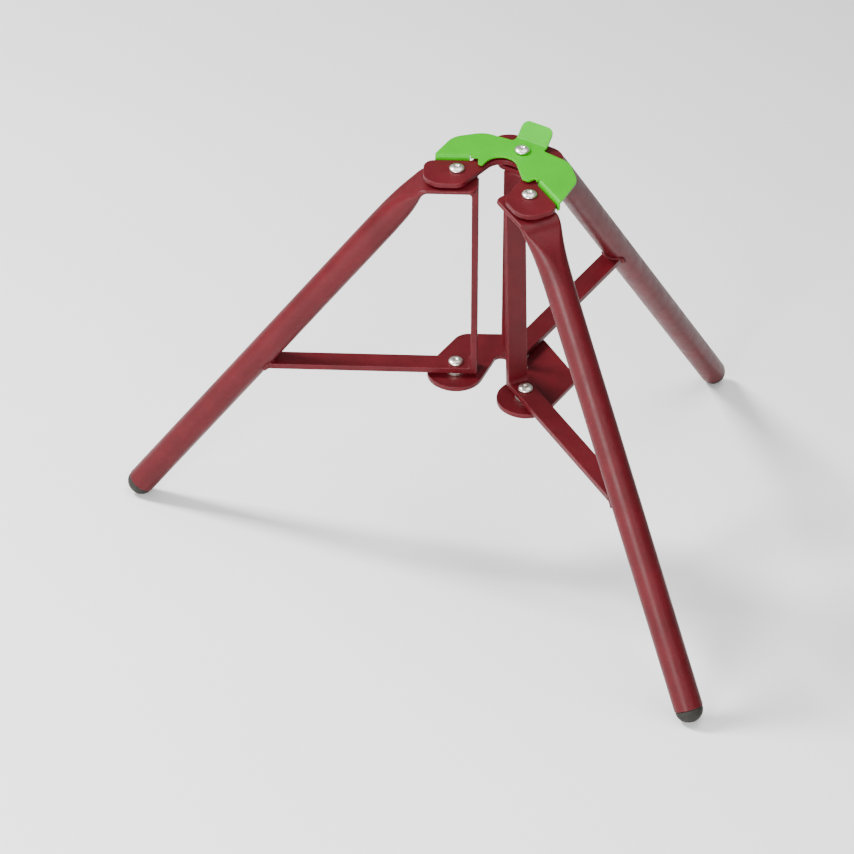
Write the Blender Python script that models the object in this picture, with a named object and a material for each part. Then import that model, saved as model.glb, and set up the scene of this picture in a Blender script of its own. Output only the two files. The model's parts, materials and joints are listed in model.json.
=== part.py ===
"""Folding tripod stand: two flat plates joined by three braced tube legs, with a sprung latch plate on top.

The head frame has its origin where the three leg lines meet, on the upper plate's top face. The back leg
runs along +Y and stays put. The two front legs swing about upright rivets until they lie beside it. The
back leg is longer, so the head leans forward when all three feet are on the floor.
"""
import math

import bmesh
import bpy
from mathutils import Matrix, Vector

# Leg layout
FRONT_PIVOT_RADIUS = 0.0444
BACK_PIVOT_RADIUS = 0.0286
LEG_SPACING = math.radians(120)
LEG_SLOPE = math.radians(53.4)
AXIS_START = 0.0235
FRONT_LEG_LENGTH = 0.472
BACK_LEG_LENGTH = 0.6405

# Leg tube, and its pressed end with an off-centre hole
TUBE_RADIUS = 0.01345
BORE_RADIUS = 0.0114
BORE_START = 0.110
PRESSED_THICKNESS = 0.0042
PRESSED_OVERHANG = 0.002
PRESSED_CORNER = 0.0065
PRESSED_OUTER_END = 0.027
HOLE_OFFSET = 0.0058
SECTION_SIDES = 36

# Bent flat bar inside each leg
BAR_WIDTH = 0.020
BAR_THICKNESS = 0.006
FRONT_BAR_SETBACK = 0.0172
BACK_BAR_SETBACK = 0.0127
BAR_TAB_END = 0.014
BEND_INNER_RADIUS = 0.0035
BEND_OUTER_RADIUS = 0.001
WELD_RADIUS = 0.0014

# Plates
PLATE_THICKNESS = 0.005
LATCH_THICKNESS = 0.002
LATCH_BOTTOM = 0.0021
LATCH_BEND_RADIUS = 0.0012
FLANGE_FACE = 0.0155
FLANGE_BOTTOM = -0.0069
FLANGE_INNER_END = -0.0115
TAB_CREASE = 0.0443
TAB_ANGLE = math.radians(44)

# Rivets and washers
GAP = 0.0003
SHANK_RADIUS = 0.004
HOLE_RADIUS = 0.0043
HEAD_RADIUS = 0.007
HEAD_HEIGHT = 0.0034
TAIL_RADIUS = 0.0055
TAIL_HEIGHT = 0.0022
WASHER_RADIUS = 0.010
UPPER_WASHER = 0.0016
LATCH_WASHER = 0.0007
LATCH_WASHER_RADIUS = 0.0075
LATCH_PLAY = 0.0011
SPACER = 0.0028

# Heights in the head frame, from the top down
PRESSED_TOP = -(PLATE_THICKNESS + GAP + UPPER_WASHER + GAP)
PRESSED_MIDDLE = PRESSED_TOP - PRESSED_THICKNESS / 2
TAB_TOP = PRESSED_TOP - PRESSED_THICKNESS - GAP
BRACE_TOP = -0.2210
LOWER_PLATE_TOP = BRACE_TOP - BAR_THICKNESS - GAP - SPACER - GAP
LOWER_PLATE_BOTTOM = LOWER_PLATE_TOP - PLATE_THICKNESS

# Foot plugs
PLUG_RADIUS = 0.0131
PLUG_STEM_RADIUS = 0.0111
PLUG_STEM_LENGTH = 0.018
PLUG_RIM = 0.0016

MAROON = (0.165, 0.018, 0.024, 1)
GREEN = (0.135, 0.560, 0.045, 1)
ZINC = (0.62, 0.60, 0.52, 1)
DARK_GREY = (0.045, 0.042, 0.036, 1)

CURVE_STEPS = 7


def clear_scene():
    for item in list(bpy.data.objects):
        bpy.data.objects.remove(item, do_unlink=True)


def new_material(name, colour, roughness, metallic):
    material = bpy.data.materials.new(name)
    material.use_nodes = True
    shader = material.node_tree.nodes["Principled BSDF"]
    shader.inputs["Base Color"].default_value = colour
    shader.inputs["Roughness"].default_value = roughness
    shader.inputs["Metallic"].default_value = metallic
    return material


def maroon_coat(name):
    return new_material(name + "_maroon_coat", MAROON, 0.42, 0.0)


def green_coat(name):
    return new_material(name + "_green_coat", GREEN, 0.38, 0.0)


def zinc(name):
    return new_material(name + "_zinc", ZINC, 0.30, 1.0)


def dark_rubber(name):
    return new_material(name + "_rubber", DARK_GREY, 0.70, 0.0)


def add_object(name, mesh, make_material, collection):
    """Puts a finished mesh into the scene as one named piece with its own material."""
    piece = bpy.data.objects.new(name, mesh)
    mesh.materials.clear()
    mesh.materials.append(make_material(name))
    collection.objects.link(piece)
    return piece


def shade(piece, angle=35):
    piece.data.shade_smooth()
    piece.data.set_sharp_from_angle(angle=math.radians(angle))


# ---------------------------------------------------------------- flat outlines

def arc_points(corner, before, after, radius):
    """Points that round one corner of an outline, with the arc tangent to both edges."""
    to_before = (before - corner).normalized()
    to_after = (after - corner).normalized()
    half_angle = to_before.angle(to_after) / 2
    reach = radius / math.tan(half_angle)
    centre = corner + (to_before + to_after).normalized() * (radius / math.sin(half_angle))
    start = corner + to_before * reach - centre
    sweep = math.pi - 2 * half_angle
    turn = 1 if to_before.x * to_after.y - to_before.y * to_after.x < 0 else -1
    steps = max(3, round(CURVE_STEPS * sweep / (math.pi / 2)))
    points = []
    for step in range(steps + 1):
        angle = turn * sweep * step / steps
        spoke = Vector((start.x * math.cos(angle) - start.y * math.sin(angle),
                        start.x * math.sin(angle) + start.y * math.cos(angle)))
        points.append(centre + spoke)
    return points


def rounded_outline(corners):
    """Closed outline from (x, y, radius) corners. A radius of zero leaves the corner sharp."""
    places = [Vector((x, y)) for x, y, radius in corners]
    points = []
    for index, (x, y, radius) in enumerate(corners):
        if radius == 0:
            points.append(places[index])
            continue
        after = places[(index + 1) % len(places)]
        points += arc_points(places[index], places[index - 1], after, radius)
    return points


def mirrored(half):
    """Adds the mirror image of a half outline that starts and ends near x = 0."""
    return half + [(-x, y, radius) for x, y, radius in reversed(half)]


def circle(centre, radius, sides=32):
    angles = [2 * math.pi * side / sides for side in range(sides)]
    return [Vector((centre[0] + radius * math.cos(a), centre[1] + radius * math.sin(a))) for a in angles]


def sheet_mesh(name, outlines, thickness, middle):
    """Flat sheet from closed outlines, the first being the edge and the rest its holes."""
    curve = bpy.data.curves.new(name, "CURVE")
    curve.dimensions = "2D"
    curve.fill_mode = "BOTH"
    curve.extrude = thickness / 2
    for outline in outlines:
        spline = curve.splines.new("POLY")
        spline.points.add(len(outline) - 1)
        spline.use_cyclic_u = True
        for point, place in zip(spline.points, outline):
            point.co = (place.x, place.y, 0, 1)
    holder = bpy.data.objects.new(name, curve)
    bpy.context.scene.collection.objects.link(holder)
    graph = bpy.context.evaluated_depsgraph_get()
    mesh = bpy.data.meshes.new_from_object(holder.evaluated_get(graph))
    bpy.data.objects.remove(holder, do_unlink=True)
    shell = bmesh.new()
    shell.from_mesh(mesh)
    bmesh.ops.remove_doubles(shell, verts=shell.verts, dist=1e-6)
    bmesh.ops.translate(shell, verts=shell.verts, vec=(0, 0, middle))
    bmesh.ops.recalc_face_normals(shell, faces=shell.faces)
    shell.to_mesh(mesh)
    shell.free()
    return mesh


# ---------------------------------------------------------------- turned pieces

def turned_mesh(name, profile, sides=32):
    """Solid of revolution about Z. The profile runs from the top of the axis down to its foot."""
    shell = bmesh.new()
    rings = []
    for radius, height in profile:
        if radius == 0:
            rings.append([shell.verts.new((0, 0, height))])
            continue
        ring = [shell.verts.new((place.x, place.y, height)) for place in circle((0, 0), radius, sides)]
        rings.append(ring)
    for upper, lower in zip(rings, rings[1:] + rings[:1]):
        if len(upper) == 1 and len(lower) == 1:
            continue
        for side in range(sides):
            after = (side + 1) % sides
            if len(upper) == 1:
                shell.faces.new((upper[0], lower[side], lower[after]))
            elif len(lower) == 1:
                shell.faces.new((upper[side], lower[0], upper[after]))
            else:
                shell.faces.new((upper[side], lower[side], lower[after], upper[after]))
    bmesh.ops.recalc_face_normals(shell, faces=shell.faces)
    mesh = bpy.data.meshes.new(name)
    shell.to_mesh(mesh)
    shell.free()
    return mesh


def ring_mesh(name, outer, inner, top, thickness):
    """Plain washer. The profile is closed, so the last ring joins the first."""
    bottom = top - thickness
    profile = [(inner, top), (outer, top), (outer, bottom), (inner, bottom)]
    return turned_mesh(name, profile)


def rivet_mesh(name, head_base, tail_top):
    """Domed head with a shallow dimple, plain shank, flat formed tail."""
    top = head_base + HEAD_HEIGHT
    profile = [(0, top - 0.0007), (0.0011, top - 0.0006), (0.0019, top - 0.0001), (0.0026, top - 0.0001)]
    for step in range(1, 6):
        angle = math.radians(20 + 14 * step)
        radius = HEAD_RADIUS * math.sin(angle)
        profile.append((radius, head_base + 0.0004 + (HEAD_HEIGHT - 0.0004) * math.cos(angle)))
    profile += [(HEAD_RADIUS, head_base), (SHANK_RADIUS, head_base), (SHANK_RADIUS, tail_top)]
    profile += [(TAIL_RADIUS, tail_top), (TAIL_RADIUS, tail_top - TAIL_HEIGHT + 0.0006)]
    profile += [(TAIL_RADIUS - 0.0006, tail_top - TAIL_HEIGHT), (0, tail_top - TAIL_HEIGHT)]
    return turned_mesh(name, profile)


# ---------------------------------------------------------------- cutting

def drill(piece, cutters):
    """Cuts the given cutter objects out of a piece and removes the cutters."""
    for cutter in cutters:
        cut = piece.modifiers.new("Cut", "BOOLEAN")
        cut.operation = "DIFFERENCE"
        cut.solver = "EXACT"
        cut.object = cutter
    graph = bpy.context.evaluated_depsgraph_get()
    carved = bpy.data.meshes.new_from_object(piece.evaluated_get(graph))
    materials = list(piece.data.materials)
    piece.modifiers.clear()
    piece.data = carved
    carved.materials.clear()
    for material in materials:
        carved.materials.append(material)
    for cutter in cutters:
        bpy.data.objects.remove(cutter, do_unlink=True)


def cylinder_cutter(start, end, radius, sides=32):
    """Plain cylinder between two points, used only for cutting."""
    axis = end - start
    shell = bmesh.new()
    bmesh.ops.create_cone(shell, cap_ends=True, segments=sides, radius1=radius, radius2=radius,
                          depth=axis.length)
    turn = axis.to_track_quat("Z", "Y").to_matrix().to_4x4()
    shell.transform(Matrix.Translation((start + end) / 2) @ turn)
    mesh = bpy.data.meshes.new("cutter")
    shell.to_mesh(mesh)
    shell.free()
    cutter = bpy.data.objects.new("cutter", mesh)
    cutter.hide_render = True
    cutter.display_type = "WIRE"
    bpy.data.collections["cutters"].objects.link(cutter)
    return cutter


# ---------------------------------------------------------------- legs

def lean(height, side):
    """Sideways offset of a leg piece. The upper rivet hole is off centre, the lower one is not."""
    return side * HOLE_OFFSET * (1 - height / BRACE_TOP)


def axis_point(distance, side):
    """Point on the tube's axis in leg axes: x outward, y to the left, z up, origin at the pivot."""
    height = -distance * math.sin(LEG_SLOPE)
    return Vector((AXIS_START + distance * math.cos(LEG_SLOPE), lean(height, side), height))


def bar_setback(side):
    """The back leg's bar stands closer to its rivets than the front legs' bars do."""
    return FRONT_BAR_SETBACK if side else BACK_BAR_SETBACK


def tube_section(centre, tilt, depth, narrowing=0.0):
    """Section of the pressed tube. Its girth stays the same while it goes from flat to round."""
    half_depth = depth / 2
    half_flat = (2 * math.pi * TUBE_RADIUS - math.pi * depth) / 4 - narrowing
    normal = Vector((math.sin(tilt), 0, math.cos(tilt)))
    points = []
    for step in range(SECTION_SIDES):
        angle = 2 * math.pi * step / SECTION_SIDES
        sideways = half_depth * math.cos(angle)
        if abs(math.cos(angle)) > 1e-6:
            sideways += math.copysign(half_flat, math.cos(angle))
        points.append(centre + Vector((0, sideways, 0)) + normal * (half_depth * math.sin(angle)))
    return points


def tube_sections(length, side):
    """Sections from the pressed inner end, over the crease, to the open end."""
    offset = lean(PRESSED_MIDDLE, side)
    inner_end = -bar_setback(side) - PRESSED_OVERHANG
    flat = [(inner_end, PRESSED_CORNER), (inner_end + 0.3 * PRESSED_CORNER, 0.3 * PRESSED_CORNER),
            (inner_end + PRESSED_CORNER, 0), (PRESSED_OUTER_END, 0)]
    sections = [tube_section(Vector((x, offset, PRESSED_MIDDLE)), 0, PRESSED_THICKNESS, narrowing)
                for x, narrowing in flat]
    crease = Vector((0.0312, offset, PRESSED_MIDDLE - 0.0008))
    sections.append(tube_section(crease, LEG_SLOPE * 0.45, PRESSED_THICKNESS * 1.1))
    swell = [(0.0185, 0.0063, 0.85), (0.024, 0.0102, 1), (0.031, 0.0153, 1), (0.040, 0.0202, 1),
             (0.052, 0.0238, 1), (0.068, 0.0260, 1), (0.088, 2 * TUBE_RADIUS, 1), (length, 2 * TUBE_RADIUS, 1)]
    for distance, depth, turn in swell:
        sections.append(tube_section(axis_point(distance, side), LEG_SLOPE * turn, depth))
    return sections


def tube_mesh(name, length, side):
    shell = bmesh.new()
    rings = [[shell.verts.new(place) for place in section] for section in tube_sections(length, side)]
    for upper, lower in zip(rings, rings[1:]):
        for step in range(SECTION_SIDES):
            after = (step + 1) % SECTION_SIDES
            shell.faces.new((upper[step], lower[step], lower[after], upper[after]))
    shell.faces.new(rings[0])
    shell.faces.new(list(reversed(rings[-1])))
    bmesh.ops.recalc_face_normals(shell, faces=shell.faces)
    mesh = bpy.data.meshes.new(name)
    shell.to_mesh(mesh)
    shell.free()
    return mesh


def leg_tube(name, length, side, collection):
    piece = add_object(name, tube_mesh(name, length, side), maroon_coat, collection)
    bore = cylinder_cutter(axis_point(BORE_START, side), axis_point(length + 0.01, side), BORE_RADIUS)
    hole = cylinder_cutter(Vector((0, 0, PRESSED_TOP + 0.003)), Vector((0, 0, TAB_TOP - 0.003)), HOLE_RADIUS)
    drill(piece, [bore, hole])
    shade(piece)
    return piece


def strip_outline(corners, thickness):
    """Edge view of a flat strip that turns left at each inner corner of its path."""
    rows = []
    for offset, bend_radius in ((thickness / 2, BEND_INNER_RADIUS), (-thickness / 2, BEND_OUTER_RADIUS)):
        row = []
        for index, corner in enumerate(corners):
            before = corners[max(index - 1, 0)]
            after = corners[min(index + 1, len(corners) - 1)]
            at_end = corner in (before, after)
            arriving = (corner - before).normalized() if corner != before else (after - corner).normalized()
            leaving = (after - corner).normalized() if corner != after else arriving
            left = Vector((-arriving.y - leaving.y, arriving.x + leaving.x)).normalized()
            stretch = left.dot(Vector((-leaving.y, leaving.x)))
            place = corner + left * (offset / stretch)
            row.append((place.x, place.y, 0 if at_end else bend_radius))
        rows.append(row)
    return rounded_outline(rows[0] + list(reversed(rows[1])))


def bar_mesh(name, side):
    """Flat bar: tab under the pressed end, upright run, brace out to the tube."""
    brace_middle = BRACE_TOP - BAR_THICKNESS / 2
    tab_middle = TAB_TOP - BAR_THICKNESS / 2
    reach = AXIS_START - brace_middle / math.tan(LEG_SLOPE)
    setback = bar_setback(side)
    path = [Vector((BAR_TAB_END, tab_middle)), Vector((-setback, tab_middle)),
            Vector((-setback, brace_middle)), Vector((reach, brace_middle))]
    outline = strip_outline(path, BAR_THICKNESS)
    mesh = sheet_mesh(name, [outline], BAR_WIDTH, 0)
    for vertex in mesh.vertices:
        outward, height, sideways = vertex.co
        vertex.co = (outward, -sideways + lean(height, side), height)
    return mesh


def leg_bar(name, length, side, collection):
    piece = add_object(name, bar_mesh(name, side), maroon_coat, collection)
    cope = cylinder_cutter(axis_point(0.15, side), axis_point(length - 0.02, side), TUBE_RADIUS + GAP, 64)
    upper = cylinder_cutter(Vector((0, 0, TAB_TOP + 0.003)), Vector((0, 0, TAB_TOP - 0.009)), HOLE_RADIUS)
    lower = cylinder_cutter(Vector((0, 0, BRACE_TOP + 0.003)), Vector((0, 0, BRACE_TOP - 0.009)), HOLE_RADIUS)
    drill(piece, [cope, upper, lower])
    shade(piece)
    return piece


def weld_path(side):
    """Closed path just clear of the brace's four faces and of the tube's wall."""
    stand_off = WELD_RADIUS + GAP
    half_width = BAR_WIDTH / 2 + stand_off
    half_height = BAR_THICKNESS / 2 + stand_off
    corners = [(half_width, half_height, stand_off), (half_width, -half_height, stand_off),
               (-half_width, -half_height, stand_off), (-half_width, half_height, stand_off)]
    loop = rounded_outline(corners)
    wide = [Vector((half_width * part, half_height)) for part in (-0.6, -0.3, 0, 0.3, 0.6)]
    low = [Vector((-place.x, -half_height)) for place in wide]
    quarter = len(loop) // 4
    loop = wide + loop[:2 * quarter] + low + loop[2 * quarter:]
    brace_middle = BRACE_TOP - BAR_THICKNESS / 2
    places = []
    for place in loop:
        height = brace_middle + place.y
        distance = -height / math.sin(LEG_SLOPE)
        centre = axis_point(distance, side)
        clear = math.sqrt((TUBE_RADIUS + stand_off) ** 2 - place.x ** 2) / math.sin(LEG_SLOPE)
        places.append(Vector((centre.x - clear, centre.y + place.x, height)))
    return places


def weld_bead(name, side, collection):
    """Bead run all round the end of the brace."""
    curve = bpy.data.curves.new(name, "CURVE")
    curve.dimensions = "3D"
    curve.bevel_depth = WELD_RADIUS
    curve.bevel_resolution = 1
    spline = curve.splines.new("POLY")
    places = weld_path(side)
    spline.points.add(len(places) - 1)
    spline.use_cyclic_u = True
    for point, place in zip(spline.points, places):
        point.co = (*place, 1)
    holder = bpy.data.objects.new(name, curve)
    bpy.context.scene.collection.objects.link(holder)
    graph = bpy.context.evaluated_depsgraph_get()
    mesh = bpy.data.meshes.new_from_object(holder.evaluated_get(graph))
    bpy.data.objects.remove(holder, do_unlink=True)
    piece = add_object(name, mesh, maroon_coat, collection)
    shade(piece, 60)
    return piece


def foot_plug(name, length, side, collection):
    """Round-nosed plug with a stem that sits in the tube."""
    profile = [(0, PLUG_STEM_LENGTH), (PLUG_STEM_RADIUS - 0.001, PLUG_STEM_LENGTH),
               (PLUG_STEM_RADIUS, PLUG_STEM_LENGTH - 0.001), (PLUG_STEM_RADIUS, -GAP),
               (PLUG_RADIUS, -GAP), (PLUG_RADIUS, -PLUG_RIM)]
    for step in range(1, 9):
        angle = math.radians(90 * step / 9)
        depth = PLUG_RIM + (PLUG_RADIUS - PLUG_RIM) * math.sin(angle)
        profile.append((PLUG_RADIUS * math.cos(angle), -depth))
    profile.append((0, -PLUG_RADIUS))
    mesh = turned_mesh(name, profile)
    direction = (axis_point(0, side) - axis_point(length, side)).normalized()
    turn = direction.to_track_quat("Z", "Y").to_matrix().to_4x4()
    mesh.transform(Matrix.Translation(axis_point(length, side)) @ turn)
    piece = add_object(name, mesh, dark_rubber, collection)
    shade(piece)
    return piece


def leg_frame(name, length, side, collection):
    pieces = [leg_tube("leg_tube_" + name, length, side, collection)]
    pieces.append(leg_bar("leg_bar_" + name, length, side, collection))
    pieces.append(weld_bead("weld_bead_" + name, side, collection))
    pieces.append(foot_plug("foot_plug_" + name, length, side, collection))
    return pieces


# ---------------------------------------------------------------- plates

def front_pivot(hand):
    """Front pivot in the head frame. Hand is +1 for the right leg and -1 for the left."""
    angle = math.pi / 2 - hand * LEG_SPACING
    return Vector((FRONT_PIVOT_RADIUS * math.cos(angle), FRONT_PIVOT_RADIUS * math.sin(angle)))


def beside_leg(outward, backward):
    """Point in the head frame from distances along and behind the right leg's line."""
    angle = math.pi / 2 - LEG_SPACING
    along = Vector((math.cos(angle), math.sin(angle)))
    behind = Vector((-along.y, along.x))
    return front_pivot(1) + along * outward + behind * backward


def leg_corner(outward, backward, radius):
    place = beside_leg(outward, backward)
    return (place.x, place.y, radius)


def pivot_places():
    return [front_pivot(-1), front_pivot(1), Vector((0, BACK_PIVOT_RADIUS))]


def upper_plate(collection):
    """Three lobes, with straight edges where the latch hangs down beside the front legs."""
    half = [(0.0170, 0.0144, 0.0165), leg_corner(-0.005, -0.0235, 0.012), leg_corner(0.0305, -0.0235, 0.018),
            leg_corner(0.0305, 0.0143, 0.010), leg_corner(-0.013, 0.0143, 0.004), (0.039, 0.0545, 0.020)]
    outlines = [rounded_outline(mirrored(half))]
    outlines += [circle(place, HOLE_RADIUS) for place in pivot_places()]
    mesh = sheet_mesh("upper_plate", outlines, PLATE_THICKNESS, -PLATE_THICKNESS / 2)
    piece = add_object("upper_plate", mesh, maroon_coat, collection)
    shade(piece)
    return piece


def lower_plate(collection):
    """Two round front lobes with a notch between them, and a blunt point at the back."""
    half = [(0.0187, 0.0212, 0.0065), (0.0066, -0.0490, 0.0262), (0.0655, -0.0490, 0.0262),
            (0.0655, 0.0287, 0.016), (0.0080, 0.0632, 0.008)]
    outlines = [rounded_outline(mirrored(half))]
    outlines += [circle(place, HOLE_RADIUS) for place in pivot_places()]
    mesh = sheet_mesh("lower_plate", outlines, PLATE_THICKNESS, LOWER_PLATE_TOP - PLATE_THICKNESS / 2)
    piece = add_object("lower_plate", mesh, maroon_coat, collection)
    shade(piece)
    return piece


def latch_side(nose, flange_outer_end):
    """One side of the flat latch, drawn on the right: nose, relief slot, flange, wing and half the tab."""
    flange_front = FLANGE_FACE + LATCH_BEND_RADIUS + LATCH_THICKNESS - flange_stretch()
    return nose + [
        leg_corner(-0.0119, 0.0140, 0.0002), leg_corner(-0.0119, 0.0190, 0.0002),
        leg_corner(FLANGE_INNER_END, 0.0190, 0.0002), leg_corner(FLANGE_INNER_END, flange_front, 0.0008),
        leg_corner(flange_outer_end, flange_front, 0.0020), leg_corner(flange_outer_end, 0.0190, 0.0010),
        (0.0665, 0.0155, 0.020), (0.0455, 0.0368, 0.022), (0.0160, 0.0395, 0.0030),
        (0.0160, 0.0645, 0.0070)]


def latch_outline():
    """The latch laid out flat, before its flanges and tab are bent. Its notch and noses are handed."""
    right_nose = [(0.0018, 0.0138, 0.0146), (0.0226, -0.0082, 0.0026), (0.0290, -0.0080, 0.0026),
                  leg_corner(-0.0160, 0.0155, 0.0010)]
    left_nose = [(0.0198, 0.0138, 0.0146), (0.0198, -0.0090, 0.0018), (0.0242, -0.0086, 0.0018),
                 leg_corner(-0.0190, 0.0140, 0.0010)]
    right = latch_side(right_nose, 0.0260)
    left = latch_side(left_nose, 0.0205)
    return rounded_outline(right + [(-x, y, radius) for x, y, radius in reversed(left)])


def flange_stretch():
    """Length of sheet in one flange, measured along the middle of the sheet from the start of the bend."""
    outer_radius = LATCH_BEND_RADIUS + LATCH_THICKNESS
    straight = LATCH_BOTTOM + LATCH_THICKNESS - FLANGE_BOTTOM - outer_radius
    return (LATCH_BEND_RADIUS + LATCH_THICKNESS / 2) * math.pi / 2 + straight


def bent(distance, height, radius, angle):
    """Run and rise of a sheet point at a distance past the start of a bend towards its underside."""
    neutral = radius + LATCH_THICKNESS / 2
    turned = min(distance / neutral, angle)
    beyond = distance - turned * neutral
    reach = radius + height
    run = reach * math.sin(turned) + beyond * math.cos(turned)
    drop = radius - reach * math.cos(turned) + beyond * math.sin(turned)
    return run, -drop


def bend_flanges(shell):
    along = (beside_leg(1, 0) - beside_leg(0, 0)).normalized()
    behind = Vector((-along.y, along.x))
    start = FLANGE_FACE + LATCH_BEND_RADIUS + LATCH_THICKNESS
    for vertex in shell.verts:
        hand = 1 if vertex.co.x > 0 else -1
        offset = Vector((vertex.co.x * hand, vertex.co.y)) - front_pivot(1)
        outward = offset.dot(along)
        distance = start - offset.dot(behind)
        if outward < FLANGE_INNER_END - 0.0003 or distance <= 0:
            continue
        run, rise = bent(distance, vertex.co.z - LATCH_BOTTOM, LATCH_BEND_RADIUS, math.pi / 2)
        place = front_pivot(1) + along * outward + behind * (start - run)
        vertex.co = (place.x * hand, place.y, LATCH_BOTTOM + rise)


def bend_tab(shell):
    radius = 0.003
    for vertex in shell.verts:
        distance = vertex.co.y - TAB_CREASE
        if distance <= 0 or abs(vertex.co.x) > 0.0165:
            continue
        height = LATCH_BOTTOM + LATCH_THICKNESS - vertex.co.z
        run, rise = bent(distance, height, radius, TAB_ANGLE)
        vertex.co.y = TAB_CREASE + run
        vertex.co.z = LATCH_BOTTOM + LATCH_THICKNESS - rise


def score(shell, point, normal):
    """Adds an edge line right across the sheet so that it can bend there."""
    geometry = shell.verts[:] + shell.edges[:] + shell.faces[:]
    bmesh.ops.bisect_plane(shell, geom=geometry, plane_co=point, plane_no=normal, dist=1e-6)


def latch_plate(collection):
    hole = circle((0, BACK_PIVOT_RADIUS), HOLE_RADIUS + 0.0005)
    middle = LATCH_BOTTOM + LATCH_THICKNESS / 2
    mesh = sheet_mesh("latch_plate", [latch_outline(), hole], LATCH_THICKNESS, middle)
    shell = bmesh.new()
    shell.from_mesh(mesh)
    along = (beside_leg(1, 0) - beside_leg(0, 0)).normalized()
    behind = Vector((-along.y, along.x))
    start = FLANGE_FACE + LATCH_BEND_RADIUS + LATCH_THICKNESS
    neutral = LATCH_BEND_RADIUS + LATCH_THICKNESS / 2
    for step in range(5):
        place = beside_leg(0, start - neutral * math.pi / 2 * step / 4)
        for hand in (1, -1):
            score(shell, (place.x * hand, place.y, 0), (behind.x * hand, behind.y, 0))
    for step in range(4):
        score(shell, (0, TAB_CREASE + 0.004 * TAB_ANGLE * step / 3, 0), (0, 1, 0))
    bend_flanges(shell)
    bend_tab(shell)
    bmesh.ops.recalc_face_normals(shell, faces=shell.faces)
    shell.to_mesh(mesh)
    shell.free()
    piece = add_object("latch_plate", mesh, green_coat, collection)
    shade(piece)
    return piece


# ---------------------------------------------------------------- fasteners

def at_pivot(piece, place):
    piece.location = (place.x, place.y, 0)
    return piece


def fasteners(collection):
    pieces = []
    latch_top = LATCH_BOTTOM + LATCH_THICKNESS + LATCH_PLAY
    for name, place in zip(("left", "right", "back"), pivot_places()):
        head_base = latch_top if name == "back" else GAP
        tab_bottom = TAB_TOP - BAR_THICKNESS
        upper = rivet_mesh("upper_rivet_" + name, head_base, tab_bottom - GAP)
        lower = rivet_mesh("lower_rivet_" + name, BRACE_TOP + GAP, LOWER_PLATE_BOTTOM - GAP)
        washer = ring_mesh("upper_washer_" + name, WASHER_RADIUS, HOLE_RADIUS, -PLATE_THICKNESS - GAP,
                           UPPER_WASHER)
        spacer = ring_mesh("lower_spacer_" + name, WASHER_RADIUS, HOLE_RADIUS,
                           BRACE_TOP - BAR_THICKNESS - GAP, SPACER)
        for mesh in (upper, lower, washer, spacer):
            piece = at_pivot(add_object(mesh.name, mesh, zinc, collection), place)
            shade(piece)
            pieces.append(piece)
    spring = ring_mesh("latch_spring_washer", LATCH_WASHER_RADIUS, HOLE_RADIUS, GAP + LATCH_WASHER,
                       LATCH_WASHER)
    piece = at_pivot(add_object(spring.name, spring, zinc, collection), pivot_places()[2])
    shade(piece)
    return pieces + [piece]


# ---------------------------------------------------------------- assembly

def head_tilt():
    """Forward lean of the head when all three feet are level."""
    front = front_pivot(1).y + axis_point(FRONT_LEG_LENGTH, 1).x * math.cos(LEG_SPACING)
    front -= lean(axis_point(FRONT_LEG_LENGTH, 1).z, 1) * math.sin(LEG_SPACING)
    back = BACK_PIVOT_RADIUS + axis_point(BACK_LEG_LENGTH, 0).x
    drop = axis_point(FRONT_LEG_LENGTH, 0).z - axis_point(BACK_LEG_LENGTH, 0).z
    return math.atan2(drop, back - front)


def place_on_floor(pieces):
    """Leans the whole stand onto its feet and centres it over the origin."""
    lean_forward = Matrix.Rotation(head_tilt(), 4, "X")
    for piece in pieces:
        piece.matrix_world = lean_forward @ piece.matrix_world
    bpy.context.view_layer.update()
    places = [piece.matrix_world @ vertex.co for piece in pieces for vertex in piece.data.vertices]
    lowest = min(place.z for place in places)
    middle_x = (min(place.x for place in places) + max(place.x for place in places)) / 2
    middle_y = (min(place.y for place in places) + max(place.y for place in places)) / 2
    shift = Matrix.Translation((-middle_x, -middle_y, -lowest))
    for piece in pieces:
        piece.matrix_world = shift @ piece.matrix_world


def build():
    clear_scene()
    collection = bpy.data.collections.new("folding_tripod_stand")
    cutters = bpy.data.collections.new("cutters")
    bpy.context.scene.collection.children.link(collection)
    bpy.context.scene.collection.children.link(cutters)
    pieces = [upper_plate(collection), lower_plate(collection), latch_plate(collection)]
    legs = (("left", FRONT_LEG_LENGTH, 1, math.pi / 2 + LEG_SPACING, front_pivot(-1)),
            ("right", FRONT_LEG_LENGTH, -1, math.pi / 2 - LEG_SPACING, front_pivot(1)),
            ("back", BACK_LEG_LENGTH, 0, math.pi / 2, Vector((0, BACK_PIVOT_RADIUS))))
    for name, length, side, heading, pivot in legs:
        stance = Matrix.Translation((pivot.x, pivot.y, 0)) @ Matrix.Rotation(heading, 4, "Z")
        frame = leg_frame(name, length, side, collection)
        for piece in frame:
            piece.matrix_world = stance
        pieces += frame
    pieces += fasteners(collection)
    bpy.context.view_layer.update()
    place_on_floor(pieces)


build()
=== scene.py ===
"""Folding tripod stand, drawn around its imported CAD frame.

Pieces are made in the head frame, whose origin lies on the upper plate's top face where the three leg
lines meet, and are then leaned into the row frame with it. Lengths are in metres.
"""
import json
import math

import bmesh
import bpy
from mathutils import Matrix, Vector


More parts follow.
